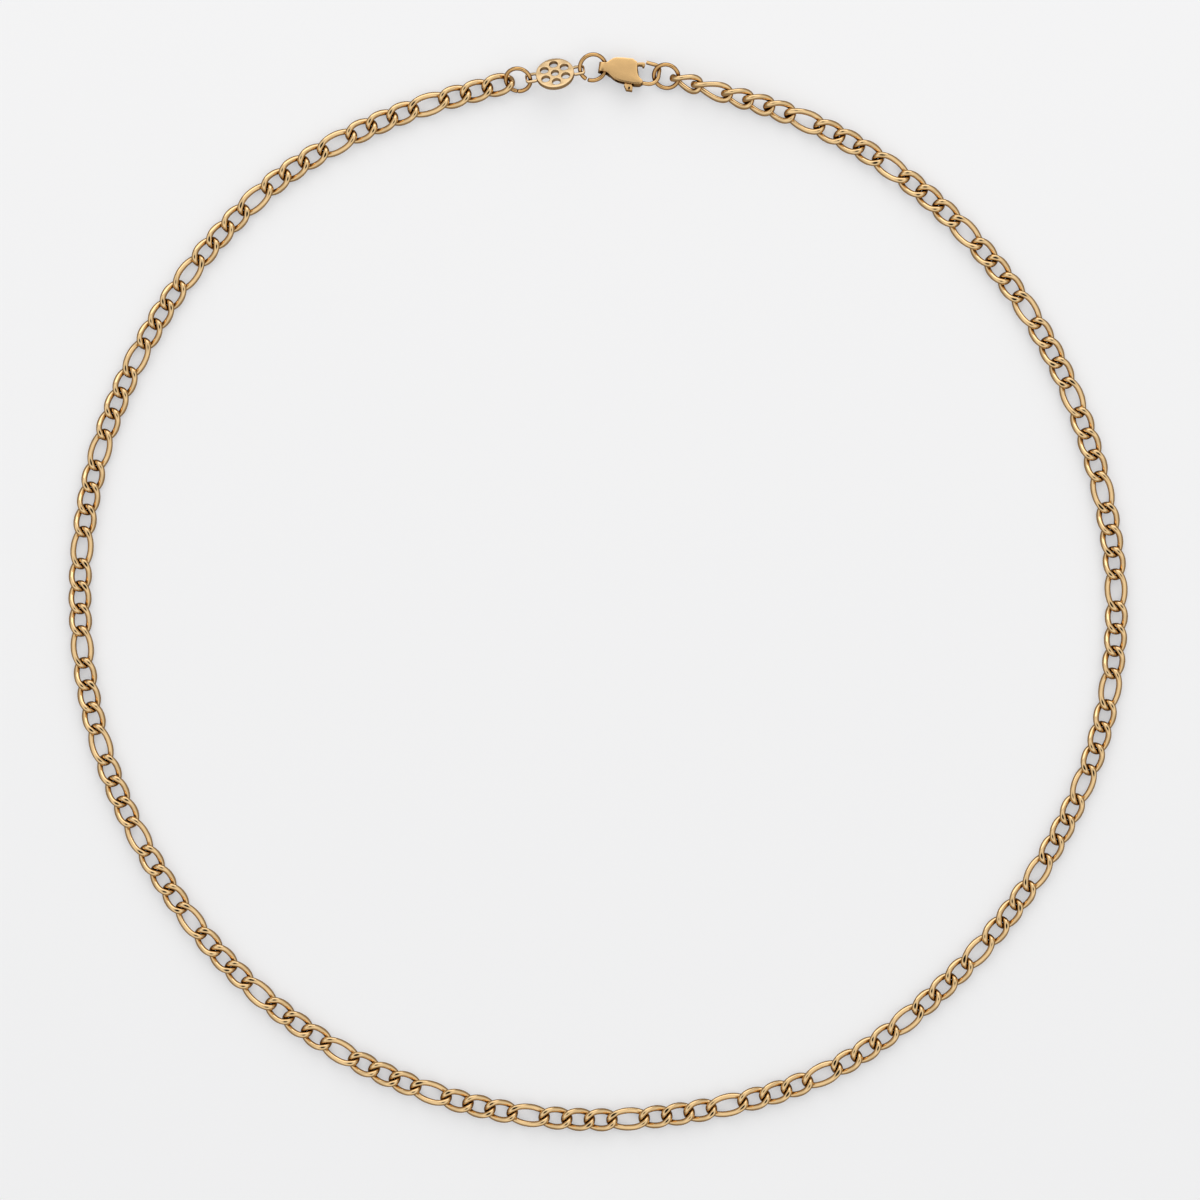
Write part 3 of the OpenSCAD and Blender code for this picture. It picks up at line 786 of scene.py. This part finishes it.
def gold(name, base, edge, roughness, grain, grain_depth, shade_reach, clear=0.66):
    """Polished gold with painted shade, dark brown where it is closed in, and faint polishing marks."""
    finish = bpy.data.materials.new(name)
    finish.use_nodes = True
    tree = finish.node_tree
    shader = tree.nodes["Principled BSDF"]
    shader.inputs["Metallic"].default_value = 1.0
    shader.inputs["Specular Tint"].default_value = (*edge, 1)
    # Painted shade darkens the gold in crevices, in narrow gaps and where parts cross
    shown = painted_hollow_shade(tree, patchy(tree, base), shade_reach, clear)
    tree.links.new(shown, shader.inputs["Base Color"])
    marks = noise(tree, grain, GRAIN_DETAIL)
    spread = tree.nodes.new("ShaderNodeMapRange")
    least, most = GRAIN_SPREAD
    spread.inputs["To Min"].default_value = roughness * least
    spread.inputs["To Max"].default_value = roughness * most
    tree.links.new(marks, spread.inputs["Value"])
    tree.links.new(spread.outputs["Result"], shader.inputs["Roughness"])
    bump = tree.nodes.new("ShaderNodeBump")
    bump.inputs["Strength"].default_value = 1.0
    bump.inputs["Distance"].default_value = grain_depth
    tree.links.new(marks, bump.inputs["Height"])
    tree.links.new(bump.outputs["Normal"], shader.inputs["Normal"])
    return finish


def floor_paper(tints):
    """Pale paper that glows a little for the camera, and a dimmer floor for the gold to mirror."""
    paper = bpy.data.materials.new("pale floor")
    paper.use_nodes = True
    nodes, links = paper.node_tree.nodes, paper.node_tree.links
    nodes.remove(nodes["Principled BSDF"])
    mirrored = nodes.new("ShaderNodeBsdfDiffuse")
    mirrored.inputs["Color"].default_value = (*tints.floor_mirrored, 1)
    pale = nodes.new("ShaderNodeBsdfDiffuse")
    pale.inputs["Color"].default_value = (*tints.floor, 1)
    glow = nodes.new("ShaderNodeEmission")
    glow.inputs["Color"].default_value = (*tints.glow_tint, 1)
    glow.inputs["Strength"].default_value = tints.floor_glow
    lit = nodes.new("ShaderNodeAddShader")
    links.new(pale.outputs["BSDF"], lit.inputs[0])
    links.new(glow.outputs["Emission"], lit.inputs[1])
    ray = nodes.new("ShaderNodeLightPath")
    seen = nodes.new("ShaderNodeMixShader")
    links.new(ray.outputs["Is Camera Ray"], seen.inputs["Fac"])
    links.new(mirrored.outputs["BSDF"], seen.inputs[1])
    links.new(lit.outputs["Shader"], seen.inputs[2])
    links.new(seen.outputs["Shader"], nodes["Material Output"].inputs["Surface"])
    return paper


# Stage


def floor_sheet(sizes, finish):
    """The flat floor just under the chain."""
    reach, low = sizes.floor_reach, -sizes.floor_drop
    corners = [(-reach, -reach, low), (reach, -reach, low), (reach, reach, low), (-reach, reach, low)]
    floor = bpy.data.objects.new("floor", mesh_of("floor", corners, [[0, 1, 2, 3]], smooth=False))
    bpy.context.scene.collection.objects.link(floor)
    floor.data.materials.append(finish)


def soft_sky(strength):
    """Soft light from all round, which is dark straight overhead as if by the camera."""
    world = bpy.data.worlds.new("soft studio")
    world.use_nodes = True
    nodes, links = world.node_tree.nodes, world.node_tree.links
    place = nodes.new("ShaderNodeTexCoord")
    split = nodes.new("ShaderNodeSeparateXYZ")
    links.new(place.outputs["Generated"], split.inputs["Vector"])
    ramp = nodes.new("ShaderNodeValToRGB")
    rows = ramp.color_ramp.elements
    rows[0].color = (*SKY_FOOT, 1)
    rows.remove(rows[1])
    for height, level in SKY_ROWS:
        rows.new(height).color = (level, level, level, 1)
    links.new(split.outputs["Z"], ramp.inputs["Fac"])
    back = nodes["Background"]
    links.new(ramp.outputs["Color"], back.inputs["Color"])
    back.inputs["Strength"].default_value = strength
    return world


def area_light(name, place, width, depth, power):
    """A soft oblong light that looks at the chain's middle."""
    lamp = bpy.data.lights.new(name, "AREA")
    lamp.shape = "RECTANGLE"
    lamp.size = width
    lamp.size_y = depth
    lamp.energy = power
    holder = bpy.data.objects.new(name, lamp)
    bpy.context.scene.collection.objects.link(holder)
    holder.location = place
    holder.rotation_euler = (-Vector(place)).to_track_quat("-Z", "Y").to_euler()
    return holder


def camera_above(sizes):
    """The camera, which looks straight down."""
    camera = bpy.data.cameras.new("camera")
    camera.sensor_width = sizes.sensor
    camera.lens = camera.sensor_width * sizes.camera_height / sizes.view_width
    camera.clip_start = sizes.near
    camera.clip_end = sizes.far
    eye = bpy.data.objects.new("camera", camera)
    bpy.context.scene.collection.objects.link(eye)
    eye.location = (sizes.view_x, sizes.view_y, sizes.view_height + sizes.camera_height)
    return eye


# Operators


class FIGARO_OT_links(bpy.types.Operator):
    """Draw the twisted links of both halves of the chain"""

    bl_idname = "figaro.links"
    bl_label = "Links"

    def execute(self, context):
        look = settings()
        tints = look.finishes
        finish = gold("polished chain gold", tints.chain_gold, tints.edge_gold, roughness=0.07, grain=1800,
                      grain_depth=2e-6, shade_reach=0.0011)
        for name, node in (("links_left", "chain_left"), ("links_right", "chain_right")):
            mesh = chain_mesh(name, node, look.chain)
            make_piece(name, mesh, NECKLACE, node, finish)
        return {"FINISHED"}


class FIGARO_OT_rings(bpy.types.Operator):
    """Draw the three jump rings with their seams"""

    bl_idname = "figaro.rings"
    bl_label = "Jump rings"

    def execute(self, context):
        look = settings()
        sizes, tints = look.rings, look.finishes
        finish = gold("polished ring gold", tints.ring_gold, tints.ring_edge, roughness=0.10, grain=1800,
                      grain_depth=2e-6, shade_reach=0.0016, clear=0.85)
        rows = (
            ("left", sizes.left_seam, sizes.closed_gap),
            ("middle", sizes.middle_seam, sizes.open_gap),
            ("right", sizes.right_seam, sizes.closed_gap),
        )
        for side, seam, gap in rows:
            mesh = ring_mesh(f"ring_{side}", f"jump_ring_{side}", sizes, seam, gap)
            soften(mesh)
            make_piece(f"ring_{side}", mesh, NECKLACE, f"jump_ring_{side}", finish)
        return {"FINISHED"}


class FIGARO_OT_tag(bpy.types.Operator):
    """Draw the pierced tag with its two side loops"""

    bl_idname = "figaro.tag"
    bl_label = "Tag"

    def execute(self, context):
        look = settings()
        tints = look.finishes
        finish = gold("satin tag gold", tints.tag_gold, tints.plate_edge, roughness=0.28, grain=900,
                      grain_depth=1e-6, shade_reach=0.0007)
        mesh = tag_mesh("pierced_tag", look.tag)
        make_piece("pierced_tag", mesh, NECKLACE, "tag", finish)
        return {"FINISHED"}


class FIGARO_OT_clasp(bpy.types.Operator):
    """Draw the clasp's body, and finish its pin"""

    bl_idname = "figaro.clasp"
    bl_label = "Clasp body"

    def execute(self, context):
        look = settings()
        tints = look.finishes
        finish = gold("satin clasp gold", tints.clasp_gold, tints.plate_edge, roughness=0.24, grain=600,
                      grain_depth=2e-6, shade_reach=0.0025, clear=0.95)
        mesh = clasp_mesh("clasp_shell", look.clasp)
        make_piece("clasp_shell", mesh, NECKLACE, "clasp_body", finish)
        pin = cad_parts["clasp_pin"]
        pin.data.materials.clear()
        pin.data.materials.append(finish)
        return {"FINISHED"}


class FIGARO_OT_lever(bpy.types.Operator):
    """Draw the clasp's lever, which turns on its pin"""

    bl_idname = "figaro.lever"
    bl_label = "Clasp lever"

    def execute(self, context):
        look = settings()
        tints = look.finishes
        finish = gold("polished lever gold", tints.clasp_gold, tints.plate_edge, roughness=0.20, grain=1800,
                      grain_depth=2e-6, shade_reach=0.0008)
        mesh = lever_mesh("lever_arm", look.clasp)
        make_piece("lever_arm", mesh, LEVER, "clasp_lever", finish)
        return {"FINISHED"}


class FIGARO_OT_stage(bpy.types.Operator):
    """Lay the pale floor, and set the soft lights and the camera straight above"""

    bl_idname = "figaro.stage"
    bl_label = "Stage"

    def execute(self, context):
        look = settings()
        sizes = look.stage
        scene = context.scene
        floor_sheet(sizes, floor_paper(look.finishes))
        scene.world = soft_sky(sizes.sky)
        area_light("window", sizes.window_place, sizes.window_width, sizes.window_depth, sizes.window)
        shade = area_light("skylight", sizes.skylight_place, sizes.skylight_width, sizes.skylight_depth,
                           sizes.skylight)
        # It only gives the floor its soft shadows, and the gold doesn't mirror it
        shade.visible_glossy = False
        scene.camera = camera_above(sizes)
        scene.view_settings.view_transform = "Standard"
        return {"FINISHED"}


class FIGARO_PT_looks(bpy.types.Panel):
    """Lists the pieces of the chain, in the order in which they are made."""

    bl_label = "Figaro chain"
    bl_idname = "FIGARO_PT_looks"
    bl_space_type = "VIEW_3D"
    bl_region_type = "UI"
    bl_category = "Chain"

    def draw(self, context):
        for step in STEPS:
            self.layout.operator(step.bl_idname)
        for group in ("chain", "rings", "tag", "clasp", "finishes", "stage"):
            box = self.layout.box()
            box.label(text=group.capitalize())
            values = getattr(settings(), group)
            for name in values.bl_rna.properties.keys():
                if name not in ("rna_type", "name"):
                    box.prop(values, name)


STEPS = (
    FIGARO_OT_links, FIGARO_OT_rings, FIGARO_OT_tag, FIGARO_OT_clasp, FIGARO_OT_lever, FIGARO_OT_stage,
)
CLASSES = (
    ChainSizes, RingSizes, TagSizes, ClaspSizes, Finishes, StageSizes, FigaroLooks, *STEPS, FIGARO_PT_looks,
)


def register():
    """Registers the classes and their settings."""
    for item in CLASSES:
        bpy.utils.register_class(item)
    bpy.types.Scene.figaro_looks = bpy.props.PointerProperty(
        type=FigaroLooks, name="Figaro looks", description="Settings of the chain's looks")


def unregister():
    """Takes the settings and classes away again."""
    del bpy.types.Scene.figaro_looks
    for item in reversed(CLASSES):
        bpy.utils.unregister_class(item)


def main():
    """Makes every piece and the stage."""
    register()
    for step in STEPS:
        group, name = step.bl_idname.split(".")
        getattr(getattr(bpy.ops, group), name)()


if __name__ == "__main__":
    main()
